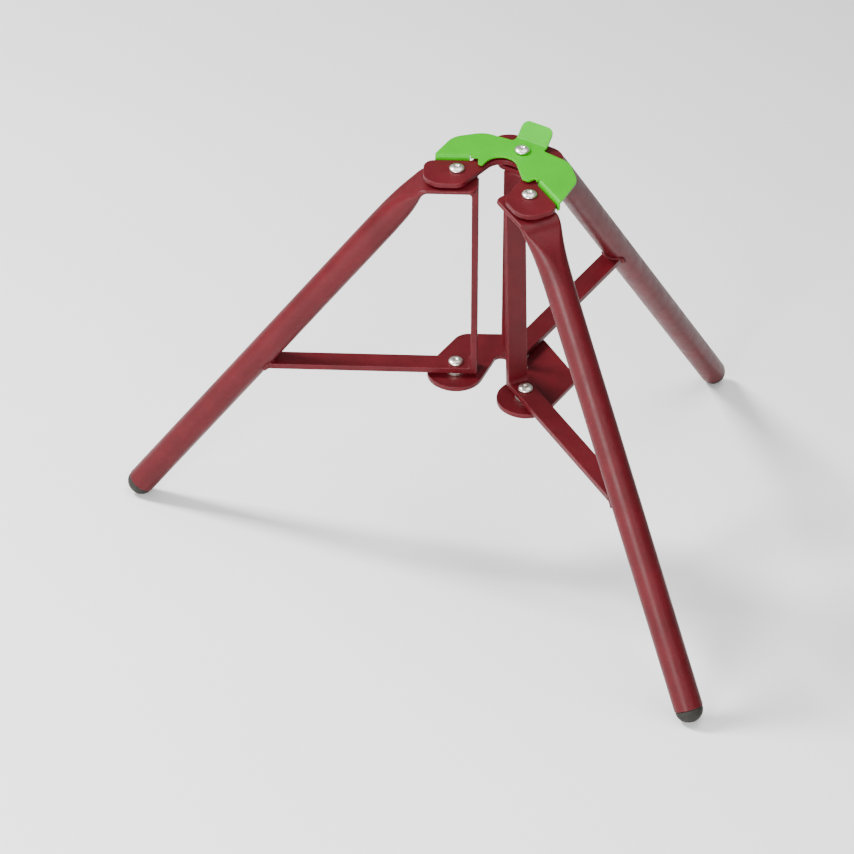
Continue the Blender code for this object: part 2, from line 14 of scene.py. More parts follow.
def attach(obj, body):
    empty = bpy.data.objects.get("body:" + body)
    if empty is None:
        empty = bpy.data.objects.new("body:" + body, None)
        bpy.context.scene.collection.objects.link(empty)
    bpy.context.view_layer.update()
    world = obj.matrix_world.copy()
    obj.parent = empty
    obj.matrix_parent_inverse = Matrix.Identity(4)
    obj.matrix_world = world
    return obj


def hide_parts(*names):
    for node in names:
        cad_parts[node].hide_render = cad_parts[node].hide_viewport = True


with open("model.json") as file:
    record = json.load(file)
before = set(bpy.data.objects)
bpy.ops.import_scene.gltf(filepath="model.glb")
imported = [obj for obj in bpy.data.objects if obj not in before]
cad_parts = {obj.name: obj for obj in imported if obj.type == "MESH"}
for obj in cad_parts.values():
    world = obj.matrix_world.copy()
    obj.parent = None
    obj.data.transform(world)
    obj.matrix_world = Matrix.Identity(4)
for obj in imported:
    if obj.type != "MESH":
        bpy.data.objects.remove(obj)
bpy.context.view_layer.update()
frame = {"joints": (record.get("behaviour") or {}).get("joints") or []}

# Leg layout
FRONT_PIVOT_X = 0.03845
FRONT_PIVOT_Y = -0.02220
BACK_PIVOT_Y = 0.0286
LEG_SPACING = math.radians(120)
LEG_SLOPE = math.radians(53.4)
AXIS_START = 0.0235
FRONT_LEG_LENGTH = 0.472
BACK_LEG_LENGTH = 0.6405

# Leg tube, and its pressed end with an off-centre hole
TUBE_RADIUS = 0.01345
PRESSED_THICKNESS = 0.0042
PRESSED_OVERHANG = 0.002
PRESSED_CORNER = 0.0065
PRESSED_CREASE = 0.0255
SWELL_START = 0.014
SWELL_LENGTH = 0.022
SWELL_POWER = 1.3
HOLE_OFFSET = 0.0058
SECTION_SIDES = 72

# Bent flat bar inside each leg
BAR_WIDTH = 0.020
BAR_THICKNESS = 0.006
BAR_SETBACK = {"left": 0.0172, "right": 0.0172, "back": 0.0127}
BAR_TAB_END = 0.014
BAR_EDGE = 0.0007
BEND_INNER_RADIUS = 0.0035
BEND_OUTER_RADIUS = 0.0011
WELD_RADIUS = 0.0021

# Plates
PLATE_THICKNESS = 0.005
PLATE_EDGE = 0.0007
LATCH_THICKNESS = 0.002
LATCH_EDGE = 0.0004
LATCH_BOTTOM = 0.0021
LATCH_BEND_RADIUS = 0.0012
LATCH_PLAY = 0.0011
FLANGE_FACE = 0.0155
FLANGE_BOTTOM = -0.0069
FLANGE_INNER_END = -0.0115
TAB_CREASE = 0.0443
TAB_BEND_RADIUS = 0.003
TAB_ANGLE = math.radians(44)
TAB_HALF_WIDTH = 0.0160

# Rivets and washers
GAP = 0.0003
SHANK_RADIUS = 0.004
HOLE_RADIUS = 0.0043
HEAD_RADIUS = 0.007
HEAD_HEIGHT = 0.0034
TAIL_RADIUS = 0.0055
TAIL_HEIGHT = 0.0022
WASHER_RADIUS = 0.010
UPPER_WASHER = 0.0016
LATCH_WASHER = 0.0007
LATCH_WASHER_RADIUS = 0.0075
SPACER = 0.0028

# Heights in the head frame, from the top down
PRESSED_TOP = -(PLATE_THICKNESS + GAP + UPPER_WASHER + GAP)
PRESSED_MIDDLE = PRESSED_TOP - PRESSED_THICKNESS / 2
TAB_TOP = PRESSED_TOP - PRESSED_THICKNESS - GAP
BRACE_TOP = -0.2210
BRACE_MIDDLE = BRACE_TOP - BAR_THICKNESS / 2
LOWER_PLATE_TOP = BRACE_TOP - BAR_THICKNESS - GAP - SPACER - GAP

# Foot plugs
PLUG_RADIUS = 0.0129
PLUG_DOME = 0.0113
PLUG_STEM_RADIUS = 0.0111
PLUG_RIM = 0.0016

# Camera, in the head frame
CAMERA_AZIMUTH = math.radians(32.355)
CAMERA_ELEVATION = math.radians(38.542)
CAMERA_DISTANCE = 3.545
CAMERA_TARGET = Vector((0.01515, -0.15750, -0.18546))
CAMERA_LENS = 164.4

QUARTER_STEPS = 10
SIDES = ("left", "right", "back")
LEG_BODY = {"left": "left_leg", "right": "right_leg", "back": "head"}


# ---------------------------------------------------------------- the head frame

def head_matrix():
    """The head frame's place in the row frame, from the two front hinges."""
    hinges = {joint["name"]: joint for joint in frame["joints"]}
    right = Vector(hinges["right_leg_fold"]["pos_m"])
    left = Vector(hinges["left_leg_fold"]["pos_m"])
    upright = Vector(hinges["right_leg_fold"]["axis"]).normalized()
    across = (right - left).normalized()
    back = upright.cross(across)
    origin = (left + right) / 2 - back * FRONT_PIVOT_Y
    matrix = Matrix((across, back, upright)).transposed().to_4x4()
    return Matrix.Translation(origin) @ matrix


HEAD = head_matrix()


def pivot(name):
    places = {"left": (-FRONT_PIVOT_X, FRONT_PIVOT_Y), "right": (FRONT_PIVOT_X, FRONT_PIVOT_Y),
              "back": (0, BACK_PIVOT_Y)}
    return Vector((*places[name], 0))


def stance(name):
    """Leg axes in the row frame: x outward from the pivot, y to the leg's left, z up."""
    turns = {"left": LEG_SPACING, "right": -LEG_SPACING, "back": 0}
    heading = Matrix.Rotation(math.pi / 2 + turns[name], 4, "Z")
    return HEAD @ Matrix.Translation(pivot(name)) @ heading


def hole_side(name):
    """Which side of the pressed end the rivet hole is off centre towards."""
    return {"left": 1, "right": -1, "back": 0}[name]


# ---------------------------------------------------------------- materials

class Shader:
    """Small helper that adds nodes to one material and links them."""

    def __init__(self, name):
        self.material = bpy.data.materials.new(name)
        self.material.use_nodes = True
        self.nodes = self.material.node_tree.nodes
        self.links = self.material.node_tree.links
        self.surface = self.nodes["Principled BSDF"]
        self.place = self.nodes.new("ShaderNodeTexCoord").outputs["Object"]

    def noise(self, scale, detail=2, roughness=0.5, place=None):
        node = self.nodes.new("ShaderNodeTexNoise")
        node.inputs["Scale"].default_value = scale
        node.inputs["Detail"].default_value = detail
        node.inputs["Roughness"].default_value = roughness
        self.links.new(place or self.place, node.inputs["Vector"])
        return node.outputs["Fac"]

    def stretched(self, scales):
        node = self.nodes.new("ShaderNodeMapping")
        node.inputs["Scale"].default_value = scales
        self.links.new(self.place, node.inputs["Vector"])
        return node.outputs["Vector"]

    def ramp(self, value, low, high, start=0.0, end=1.0):
        """Spreads a value between low and high onto start to end."""
        node = self.nodes.new("ShaderNodeMapRange")
        node.inputs["From Min"].default_value = low
        node.inputs["From Max"].default_value = high
        node.inputs["To Min"].default_value = start
        node.inputs["To Max"].default_value = end
        self.links.new(value, node.inputs["Value"])
        return node.outputs["Result"]

    def blend(self, amount, first, second):
        """Colour between first and second. Each is a colour or another node's output."""
        node = self.nodes.new("ShaderNodeMix")
        node.data_type = "RGBA"
        self.links.new(amount, node.inputs["Factor"])
        for socket, colour in ((node.inputs[6], first), (node.inputs[7], second)):
            if isinstance(colour, tuple):
                socket.default_value = (*colour, 1)
            else:
                self.links.new(colour, socket)
        return node.outputs[2]

    def combine(self, operation, first, second):
        node = self.nodes.new("ShaderNodeMath")
        node.operation = operation
        for socket, value in zip(node.inputs, (first, second)):
            if isinstance(value, (int, float)):
                socket.default_value = value
            else:
                self.links.new(value, socket)
        return node.outputs[0]

    def edges(self, radius):
        """Close to 1 on convex edges and 0 on open surface."""
        rounded = self.nodes.new("ShaderNodeBevel")
        rounded.samples = 4
        rounded.inputs["Radius"].default_value = radius
        geometry = self.nodes.new("ShaderNodeNewGeometry")
        dot = self.nodes.new("ShaderNodeVectorMath")
        dot.operation = "DOT_PRODUCT"
        self.links.new(rounded.outputs["Normal"], dot.inputs[0])
        self.links.new(geometry.outputs["Normal"], dot.inputs[1])
        return self.ramp(dot.outputs["Value"], 0.995, 0.86)

    def bump(self, height, strength, depth, below=None):
        node = self.nodes.new("ShaderNodeBump")
        node.inputs["Strength"].default_value = strength
        node.inputs["Distance"].default_value = depth
        self.links.new(height, node.inputs["Height"])
        if below:
            self.links.new(below, node.inputs["Normal"])
        return node.outputs["Normal"]

    def finish(self, colour, roughness, normal):
        self.links.new(colour, self.surface.inputs["Base Color"])
        self.links.new(roughness, self.surface.inputs["Roughness"])
        self.links.new(normal, self.surface.inputs["Normal"])
        return self.material


def powder_coat(name, base, deep, speck_and_edge_highlight, gloss):
    """Baked powder paint: fine orange peel, soft cloudy tone, pale specks, and a painted highlight that
    lightens convex edges.
    """
    shader = Shader(name)
    cloud = shader.ramp(shader.noise(26, 4, 0.6), 0.35, 0.68)
    colour = shader.blend(cloud, base, deep)
    # The pale colour serves both the random specks and the painted edge highlight below.
    speck = shader.ramp(shader.noise(2600, 1), 0.62, 0.74, 0, 0.45)
    colour = shader.blend(speck, colour, speck_and_edge_highlight)
    # Painted highlight: convex edges, made patchy with noise, are blended towards the pale colour to stand
    # in for lit edges.
    highlight_breakup = shader.ramp(shader.noise(160, 3, 0.6), 0.38, 0.62)
    painted_edge_highlight = shader.combine("MULTIPLY", shader.edges(0.0008), highlight_breakup)
    colour = shader.blend(shader.combine("MULTIPLY", painted_edge_highlight, 0.55), colour, speck_and_edge_highlight)
    roughness = shader.ramp(shader.noise(75, 5, 0.65), 0.3, 0.7, gloss - 0.06, gloss + 0.08)
    grain = shader.bump(shader.noise(1500, 3, 0.6), 0.32, 0.0002)
    peel = shader.bump(shader.noise(420, 2), 0.22, 0.0003, grain)
    shader.surface.inputs["Specular IOR Level"].default_value = 0.18
    return shader.finish(colour, roughness, peel)


def zinc_plate(name):
    """Bright zinc on steel: fine turning grain, tiny dull blooms and small dents."""
    shader = Shader(name)
    bloom = shader.ramp(shader.noise(420, 4, 0.6), 0.42, 0.66)
    colour = shader.blend(bloom, (0.78, 0.76, 0.70), (0.52, 0.50, 0.44))
    stain = shader.ramp(shader.noise(120, 3, 0.6), 0.55, 0.75, 0, 0.6)
    colour = shader.blend(stain, colour, (0.40, 0.37, 0.30))
    roughness = shader.ramp(shader.noise(900, 3, 0.6), 0.3, 0.7, 0.24, 0.42)
    grain = shader.bump(shader.noise(1, 2, 0.6, shader.stretched((300, 300, 5000))), 0.12, 0.0001)
    dents = shader.bump(shader.noise(700, 2), 0.20, 0.0002, grain)
    shader.surface.inputs["Metallic"].default_value = 1
    return shader.finish(colour, roughness, dents)


def moulded_plug(name):
    """Dark grey moulded plastic with a fine matt texture and rubbed paler spots."""
    shader = Shader(name)
    cloud = shader.ramp(shader.noise(90, 4, 0.6), 0.35, 0.7)
    colour = shader.blend(cloud, (0.020, 0.018, 0.015), (0.011, 0.010, 0.008))
    scuff = shader.ramp(shader.noise(1, 5, 0.7, shader.stretched((900, 160, 160))), 0.6, 0.76, 0, 0.5)
    colour = shader.blend(scuff, colour, (0.05, 0.045, 0.038))
    roughness = shader.ramp(shader.noise(240, 3), 0.3, 0.7, 0.50, 0.72)
    grain = shader.bump(shader.noise(1900, 2), 0.35, 0.0002)
    shader.surface.inputs["Specular IOR Level"].default_value = 0.2
    return shader.finish(colour, roughness, grain)


def studio_floor(name):
    shader = Shader(name)
    tone = shader.ramp(shader.noise(3, 2), 0.3, 0.7)
    colour = shader.blend(tone, (0.92, 0.92, 0.92), (0.90, 0.90, 0.90))
    roughness = shader.ramp(shader.noise(12, 2), 0.3, 0.7, 0.75, 0.85)
    grain = shader.bump(shader.noise(400, 2), 0.05, 0.0002)
    return shader.finish(colour, roughness, grain)


MAROON = powder_coat("maroon_powder_coat", (0.070, 0.003, 0.006), (0.050, 0.002, 0.004),
                     (0.34, 0.035, 0.05), 0.40)
GREEN = powder_coat("green_powder_coat", (0.020, 0.290, 0.001), (0.016, 0.255, 0.001),
                    (0.20, 0.65, 0.03), 0.38)
ZINC = zinc_plate("zinc_plate")
PLUG = moulded_plug("moulded_plug")


# ---------------------------------------------------------------- pieces

def add_piece(name, shell, matrix, material, body, sharp=32):
    """Turns a finished shell into a piece that stands for the CAD node of the same name."""
    bmesh.ops.recalc_face_normals(shell, faces=shell.faces)
    shell.transform(matrix)
    mesh = bpy.data.meshes.new(name)
    shell.to_mesh(mesh)
    shell.free()
    mesh.shade_smooth()
    mesh.set_sharp_from_angle(angle=math.radians(sharp))
    mesh.materials.append(material)
    piece = bpy.data.objects.new(name + "_look", mesh)
    bpy.context.scene.collection.objects.link(piece)
    weighted = piece.modifiers.new("Normals", "WEIGHTED_NORMAL")
    weighted.keep_sharp = True
    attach(piece, body)
    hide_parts(name)
    return piece


def bridge(shell, rings, closed=False):
    """Joins rings of equal length with quads."""
    pairs = list(zip(rings, rings[1:]))
    if closed:
        pairs.append((rings[-1], rings[0]))
    for upper, lower in pairs:
        for index in range(len(upper)):
            after = (index + 1) % len(upper)
            shell.faces.new((upper[index], lower[index], lower[after], upper[after]))


def loft(sections, closed=False):
    shell = bmesh.new()
    rings = [[shell.verts.new(place) for place in section] for section in sections]
    bridge(shell, rings, closed)
    if not closed:
        shell.faces.new(rings[0])
        shell.faces.new(list(reversed(rings[-1])))
    return shell


# ---------------------------------------------------------------- flat outlines

def arc_points(corner, before, after, radius):
    """Points that round one corner of an outline, with the arc tangent to both edges."""
    to_before = (before - corner).normalized()
    to_after = (after - corner).normalized()
    half_angle = to_before.angle(to_after) / 2
    reach = radius / math.tan(half_angle)
    centre = corner + (to_before + to_after).normalized() * (radius / math.sin(half_angle))
    start = corner + to_before * reach - centre
    sweep = math.pi - 2 * half_angle
    turn = 1 if to_before.x * to_after.y - to_before.y * to_after.x < 0 else -1
    steps = max(4, round(QUARTER_STEPS * sweep / (math.pi / 2)))
    points = []
    for step in range(steps + 1):
        angle = turn * sweep * step / steps
        points.append(centre + Matrix.Rotation(angle, 2) @ start)
    return points


def rounded_outline(corners):
    """Closed outline from (x, y, radius) corners."""
    places = [Vector((x, y)) for x, y, radius in corners]
    points = []
    for index, (x, y, radius) in enumerate(corners):
        after = places[(index + 1) % len(places)]
        points += arc_points(places[index], places[index - 1], after, radius)
    return points


def mirrored(half):
    return half + [(-x, y, radius) for x, y, radius in reversed(half)]


def circle(centre, radius, sides=40):
    angles = [2 * math.pi * side / sides for side in range(sides)]
    return [Vector((centre[0] + radius * math.cos(a), centre[1] + radius * math.sin(a))) for a in angles]


def area(outline):
    pairs = zip(outline, outline[1:] + outline[:1])
    return sum(first.x * second.y - second.x * first.y for first, second in pairs) / 2


def inset(outline, distance):
    """Moves an outline towards its left by a distance, corner by corner."""
    moved = []
    for index, place in enumerate(outline):
        arriving = (place - outline[index - 1]).normalized()
        leaving = (outline[(index + 1) % len(outline)] - place).normalized()
        left = Vector((-arriving.y - leaving.y, arriving.x + leaving.x)).normalized()
        stretch = max(0.5, left.dot(Vector((-leaving.y, leaving.x))))
        moved.append(place + left * (distance / stretch))
    return moved


def sheet(outlines, thickness, middle, edge):
    """Flat sheet with rounded edges. The first outline is its edge and the rest are holes."""
    shell = bmesh.new()
    caps = {1: [], -1: []}
    for index, outline in enumerate(outlines):
        wanted = 1 if index == 0 else -1
        if area(outline) * wanted < 0:
            outline = list(reversed(outline))
        rings = []
        for face in (1, -1):
            steps = range(5) if face == 1 else reversed(range(5))
            for step in steps:
                angle = math.pi / 2 * step / 4
                loop = inset(outline, edge * (1 - math.sin(angle)))
                height = middle + face * (thickness / 2 - edge * (1 - math.cos(angle)))
                rings.append([shell.verts.new((place.x, place.y, height)) for place in loop])
        bridge(shell, rings)
        caps[1] += [shell.edges.get((a, b)) for a, b in zip(rings[0], rings[0][1:] + rings[0][:1])]
        caps[-1] += [shell.edges.get((a, b)) for a, b in zip(rings[-1], rings[-1][1:] + rings[-1][:1])]
    for face in (1, -1):
        bmesh.ops.triangle_fill(shell, use_beauty=True, use_dissolve=False, edges=caps[face])
    return shell


# ---------------------------------------------------------------- turned pieces

def turned(profile, sides=56):
    """Solid of revolution about Z. The profile runs from the top of the axis down to its foot."""
    shell = bmesh.new()
    rings = []
    for radius, height in profile:
        if radius == 0:
            rings.append([shell.verts.new((0, 0, height))])
            continue
        places = circle((0, 0), radius, sides)
        rings.append([shell.verts.new((place.x, place.y, height)) for place in places])
    closed = profile[0][0] != 0
    pairs = list(zip(rings, rings[1:])) + ([(rings[-1], rings[0])] if closed else [])
    for upper, lower in pairs:
        for side in range(sides):
            after = (side + 1) % sides
            if len(upper) == 1:
                shell.faces.new((upper[0], lower[side], lower[after]))
            elif len(lower) == 1:
                shell.faces.new((upper[side], lower[0], upper[after]))
            else:
                shell.faces.new((upper[side], lower[side], lower[after], upper[after]))
    return shell


def washer(outer, inner, top, thickness, edge=0.0002):
    bottom = top - thickness
    profile = [(inner + edge, top), (outer - edge, top), (outer, top - edge), (outer, bottom + edge),
               (outer - edge, bottom), (inner + edge, bottom), (inner, bottom + edge), (inner, top - edge)]
    return turned(profile)


def rivet(head_base, tail_top):
    """Domed head with a shallow punched dimple, plain shank, flat formed tail."""
    top = head_base + HEAD_HEIGHT
    dimple = [(0, -0.0010), (0.0008, -0.00095), (0.0014, -0.0008), (0.0019, -0.0004), (0.0022, -0.0001),
              (0.0026, 0)]
    profile = [(radius, top + depth) for radius, depth in dimple]
    dome = HEAD_HEIGHT - 0.0008
    for step in range(1, 13):
        angle = math.radians(22 + 68 * step / 12)
        drop = (math.cos(math.radians(22)) - math.cos(angle)) / math.cos(math.radians(22))
        profile.append((HEAD_RADIUS * math.sin(angle), top - dome * drop))
    tail_base = tail_top - TAIL_HEIGHT
    profile += [(HEAD_RADIUS, head_base + 0.0003), (HEAD_RADIUS - 0.0003, head_base)]
    profile.append((SHANK_RADIUS, head_base))
    profile += [(SHANK_RADIUS, tail_top), (TAIL_RADIUS - 0.0003, tail_top), (TAIL_RADIUS, tail_top - 0.0003)]
    profile += [(TAIL_RADIUS, tail_base + 0.0008), (TAIL_RADIUS - 0.0003, tail_base + 0.0003)]
    profile += [(TAIL_RADIUS - 0.0009, tail_base), (0, tail_base)]
    return turned(profile)


# ---------------------------------------------------------------- legs

def lean(height, side):
    """Sideways offset of a leg piece. The upper rivet hole is off centre, the lower one is not."""
    return side * HOLE_OFFSET * (1 - height / BRACE_TOP)


def axis_point(distance, side):
    """Point on the tube's axis in leg axes."""
    height = -distance * math.sin(LEG_SLOPE)
    return Vector((AXIS_START + distance * math.cos(LEG_SLOPE), lean(height, side), height))


def swell(distance):
    """Depth of the tube where it opens from its pressed end to full round."""
    if distance <= SWELL_START:
        return PRESSED_THICKNESS
    reach = ((distance - SWELL_START) / SWELL_LENGTH) ** SWELL_POWER
    return PRESSED_THICKNESS + (2 * TUBE_RADIUS - PRESSED_THICKNESS) * (1 - math.exp(-reach))


def tube_section(centre, tilt, depth, narrowing=0.0):
    """Section of the pressed tube. Its girth stays the same while it goes from flat to round."""
    half_depth = depth / 2
    half_flat = (2 * math.pi * TUBE_RADIUS - math.pi * depth) / 4 - narrowing
    normal = Vector((math.sin(tilt), 0, math.cos(tilt)))
    points = []
    for step in range(SECTION_SIDES):
        angle = 2 * math.pi * (step + 0.5) / SECTION_SIDES
        sideways = half_depth * math.cos(angle) + math.copysign(half_flat, math.cos(angle))
        points.append(centre + Vector((0, sideways, 0)) + normal * (half_depth * math.sin(angle)))
    return points


def tube_sections(name, length):
    side = hole_side(name)
    offset = lean(PRESSED_MIDDLE, side)
    inner_end = -BAR_SETBACK[name] - PRESSED_OVERHANG
    sections = []
    for step in range(7):
        angle = math.pi / 2 * step / 6
        centre = Vector((inner_end + PRESSED_CORNER * (1 - math.cos(angle)), offset, PRESSED_MIDDLE))
        sections.append(tube_section(centre, 0, PRESSED_THICKNESS, PRESSED_CORNER * (1 - math.sin(angle))))
    start = Vector((PRESSED_CREASE, offset, PRESSED_MIDDLE))
    bend = Vector((AXIS_START - PRESSED_MIDDLE / math.tan(LEG_SLOPE), offset, PRESSED_MIDDLE))
    end_distance = 0.019
    end = axis_point(end_distance, side)
    for step in range(11):
        part = step / 10
        centre = start.lerp(bend, part).lerp(bend.lerp(end, part), part)
        depth = PRESSED_THICKNESS + (swell(end_distance) - PRESSED_THICKNESS) * part ** 2
        sections.append(tube_section(centre, LEG_SLOPE * part, depth))
    for step in range(1, 46):
        distance = end_distance + 0.0022 * step
        sections.append(tube_section(axis_point(distance, side), LEG_SLOPE, swell(distance)))
    for before_end, chamfer in ((0.0006, 0.0), (0.0002, 0.0002), (0.0, 0.0006)):
        place = axis_point(length - before_end, side)
        depth = 2 * (TUBE_RADIUS - chamfer)
        sections.append(tube_section(place, LEG_SLOPE, depth, chamfer * math.pi / 2))
    return sections


def leg_tube(name, length):
    shell = loft(tube_sections(name, length))
    add_piece("leg_tube_" + name, shell, stance(name), MAROON, LEG_BODY[name], 50)


def strip_outline(corners, thickness):
    """Edge view of a flat strip that turns left at each inner corner of its path."""
    rows = []
    for offset, bend_radius in ((thickness / 2, BEND_INNER_RADIUS), (-thickness / 2, BEND_OUTER_RADIUS)):
        row = []
        for index, corner in enumerate(corners):
            before = corners[max(index - 1, 0)]
            after = corners[min(index + 1, len(corners) - 1)]
            at_end = corner in (before, after)
            arriving = (corner - before).normalized() if corner != before else (after - corner).normalized()
            leaving = (after - corner).normalized() if corner != after else arriving
            left = Vector((-arriving.y - leaving.y, arriving.x + leaving.x)).normalized()
            stretch = left.dot(Vector((-leaving.y, leaving.x)))
            place = corner + left * (offset / stretch)
            row.append((place.x, place.y, BAR_EDGE if at_end else bend_radius))
        rows.append(row)
    return rounded_outline(rows[0] + list(reversed(rows[1])))


def leg_bar(name):
    """Flat bar: tab under the pressed end, upright run, brace out to the tube."""
    side = hole_side(name)
    tab_middle = TAB_TOP - BAR_THICKNESS / 2
    reach = AXIS_START - BRACE_MIDDLE / math.tan(LEG_SLOPE)
    setback = BAR_SETBACK[name]
    path = [Vector((BAR_TAB_END, tab_middle)), Vector((-setback, tab_middle)),
            Vector((-setback, BRACE_MIDDLE)), Vector((reach, BRACE_MIDDLE))]
    shell = sheet([strip_outline(path, BAR_THICKNESS)], BAR_WIDTH, 0, BAR_EDGE)
    for vertex in shell.verts:
        outward, height, sideways = vertex.co
        vertex.co = (outward, -sideways + lean(height, side), height)
    add_piece("leg_bar_" + name, shell, stance(name), MAROON, LEG_BODY[name], 40)


def weld_path(side):
    """Closed path round the brace, on the tube's wall."""
    half_width = BAR_WIDTH / 2 + WELD_RADIUS * 0.2
    half_height = BAR_THICKNESS / 2 + WELD_RADIUS * 0.2
    corner = 0.0012
    loop = rounded_outline([(half_width, half_height, corner), (half_width, -half_height, corner),
                            (-half_width, -half_height, corner), (-half_width, half_height, corner)])
    places = []
    for first, second in zip(loop, loop[1:] + loop[:1]):
        count = max(1, round((second - first).length / 0.0006))
        for step in range(count):
            flat = first.lerp(second, step / count)
            height = BRACE_MIDDLE + flat.y
            centre = axis_point(-height / math.sin(LEG_SLOPE), side)
            depth = math.sqrt((TUBE_RADIUS + 0.0002) ** 2 - flat.x ** 2) / math.sin(LEG_SLOPE)
            places.append(Vector((centre.x - depth, centre.y + flat.x, height)))
    return places


def weld_bead(name):
    """Bead of overlapping ripples, laid all round the end of the brace."""
    places = weld_path(hole_side(name))
    rings = []
    travelled = 0.0
    for index, place in enumerate(places):
        ahead = places[(index + 1) % len(places)]
        travelled += (ahead - place).length
        forward = (ahead - places[index - 1]).normalized()
        outward = forward.cross(Vector((-1, 0, 0))).normalized()
        third = forward.cross(outward)
        ripple = 0.16 * math.sin(2 * math.pi * travelled / 0.0021) + 0.07 * math.sin(travelled * 1900)
        radius = WELD_RADIUS * (0.82 + ripple)
        ring = []
        for side in range(12):
            angle = 2 * math.pi * side / 12
            ring.append(place + outward * (radius * math.cos(angle)) + third * (radius * math.sin(angle)))
        rings.append(ring)
    shell = loft(rings, closed=True)
    add_piece("weld_bead_" + name, shell, stance(name), MAROON, LEG_BODY[name], 70)


def foot_plug(name, length):
    """Round-nosed plug with a shoulder against the tube's end and a fine moulding line."""
    profile = [(0, 0.004), (PLUG_STEM_RADIUS, 0.004), (PLUG_STEM_RADIUS, 0.0),
               (PLUG_RADIUS - 0.0004, -GAP / 2), (PLUG_RADIUS, -GAP - 0.0003), (PLUG_RADIUS, -PLUG_RIM)]
    for step in range(1, 20):
        angle = math.radians(90 * step / 20)
        line = 0.00015 if step == 4 else 0.0
        profile.append(((PLUG_RADIUS - line) * math.cos(angle), -PLUG_RIM - PLUG_DOME * math.sin(angle)))
    profile.append((0, -PLUG_RIM - PLUG_DOME))
    side = hole_side(name)
    direction = (axis_point(0, side) - axis_point(length, side)).normalized()
    turn = direction.to_track_quat("Z", "Y").to_matrix().to_4x4()
    place = stance(name) @ Matrix.Translation(axis_point(length, side)) @ turn
    add_piece("foot_plug_" + name, turned(profile), place, PLUG, LEG_BODY[name], 40)


# ---------------------------------------------------------------- plates

ALONG = Vector((math.sin(LEG_SPACING), math.cos(LEG_SPACING)))
BEHIND = Vector((-ALONG.y, ALONG.x))
RIGHT_PIVOT = Vector((FRONT_PIVOT_X, FRONT_PIVOT_Y))
BEND_START = FLANGE_FACE + LATCH_BEND_RADIUS + LATCH_THICKNESS


def leg_corner(outward, backward, radius):
    """Outline corner given along and behind the right leg's line."""
    place = RIGHT_PIVOT + ALONG * outward + BEHIND * backward
    return (place.x, place.y, radius)


def pivot_holes(radius):
    return [circle(pivot(name), radius) for name in SIDES]


def upper_plate():
    half = [(0.0170, 0.0144, 0.0165), leg_corner(-0.005, -0.0235, 0.012), leg_corner(0.0305, -0.0235, 0.018),
            leg_corner(0.0305, 0.0143, 0.010), leg_corner(-0.013, 0.0143, 0.004), (0.039, 0.0545, 0.020)]
    outlines = [rounded_outline(mirrored(half))] + pivot_holes(HOLE_RADIUS)
    shell = sheet(outlines, PLATE_THICKNESS, -PLATE_THICKNESS / 2, PLATE_EDGE)
    add_piece("upper_plate", shell, HEAD, MAROON, "head")


def lower_plate():
    half = [(0.0187, 0.0212, 0.0065), (0.0066, -0.0490, 0.0262), (0.0655, -0.0490, 0.0262),
            (0.0655, 0.0287, 0.016), (0.0080, 0.0632, 0.008)]
    outlines = [rounded_outline(mirrored(half))] + pivot_holes(HOLE_RADIUS)
    shell = sheet(outlines, PLATE_THICKNESS, LOWER_PLATE_TOP - PLATE_THICKNESS / 2, PLATE_EDGE)
    add_piece("lower_plate", shell, HEAD, MAROON, "head")


def latch_side(nose, flange_outer_end):
    """One side of the flat latch, drawn on the right: nose, relief slot, flange, wing and half the tab."""
    straight = LATCH_BOTTOM + LATCH_THICKNESS - FLANGE_BOTTOM - (LATCH_BEND_RADIUS + LATCH_THICKNESS)
    flange_front = BEND_START - (LATCH_BEND_RADIUS + LATCH_THICKNESS / 2) * math.pi / 2 - straight
    return nose + [
        leg_corner(-0.0119, 0.0140, 0.0002), leg_corner(-0.0119, 0.0190, 0.0002),
        leg_corner(FLANGE_INNER_END, 0.0190, 0.0002), leg_corner(FLANGE_INNER_END, flange_front, 0.0008),
        leg_corner(flange_outer_end, flange_front, 0.0020), leg_corner(flange_outer_end, 0.0190, 0.0010),
        (0.0665, 0.0155, 0.020), (0.0455, 0.0368, 0.022), (0.0160, 0.0395, 0.0030),
        (0.0160, 0.0645, 0.0070)]


def latch_outline():
    """The latch laid out flat, before its flanges and tab are bent. Its notch and noses are handed."""
    right_nose = [(0.0018, 0.0138, 0.0146), (0.0226, -0.0082, 0.0026), (0.0290, -0.0080, 0.0026),
                  leg_corner(-0.0160, 0.0155, 0.0010)]
    left_nose = [(0.0198, 0.0138, 0.0146), (0.0198, -0.0090, 0.0018), (0.0242, -0.0086, 0.0018),
                 leg_corner(-0.0190, 0.0140, 0.0010)]
    right = latch_side(right_nose, 0.0260)
    left = latch_side(left_nose, 0.0205)
    return rounded_outline(right + [(-x, y, radius) for x, y, radius in reversed(left)])


def bent(distance, height, radius, angle):
    """Run and drop of a sheet point at a distance past the start of a bend towards its underside."""
    neutral = radius + LATCH_THICKNESS / 2
    turned_by = min(distance / neutral, angle)
    beyond = distance - turned_by * neutral
    reach = radius + height
    run = reach * math.sin(turned_by) + beyond * math.cos(turned_by)
    drop = radius - reach * math.cos(turned_by) + beyond * math.sin(turned_by)
    return run, drop


def bend_flanges(shell):
    for vertex in shell.verts:
        hand = 1 if vertex.co.x > 0 else -1
        offset = Vector((vertex.co.x * hand, vertex.co.y)) - RIGHT_PIVOT
        outward = offset.dot(ALONG)
        distance = BEND_START - offset.dot(BEHIND)
        if outward < FLANGE_INNER_END - 0.0003 or distance <= 0:
            continue
        run, drop = bent(distance, vertex.co.z - LATCH_BOTTOM, LATCH_BEND_RADIUS, math.pi / 2)
        place = RIGHT_PIVOT + ALONG * outward + BEHIND * (BEND_START - run)
        vertex.co = (place.x * hand, place.y, LATCH_BOTTOM - drop)


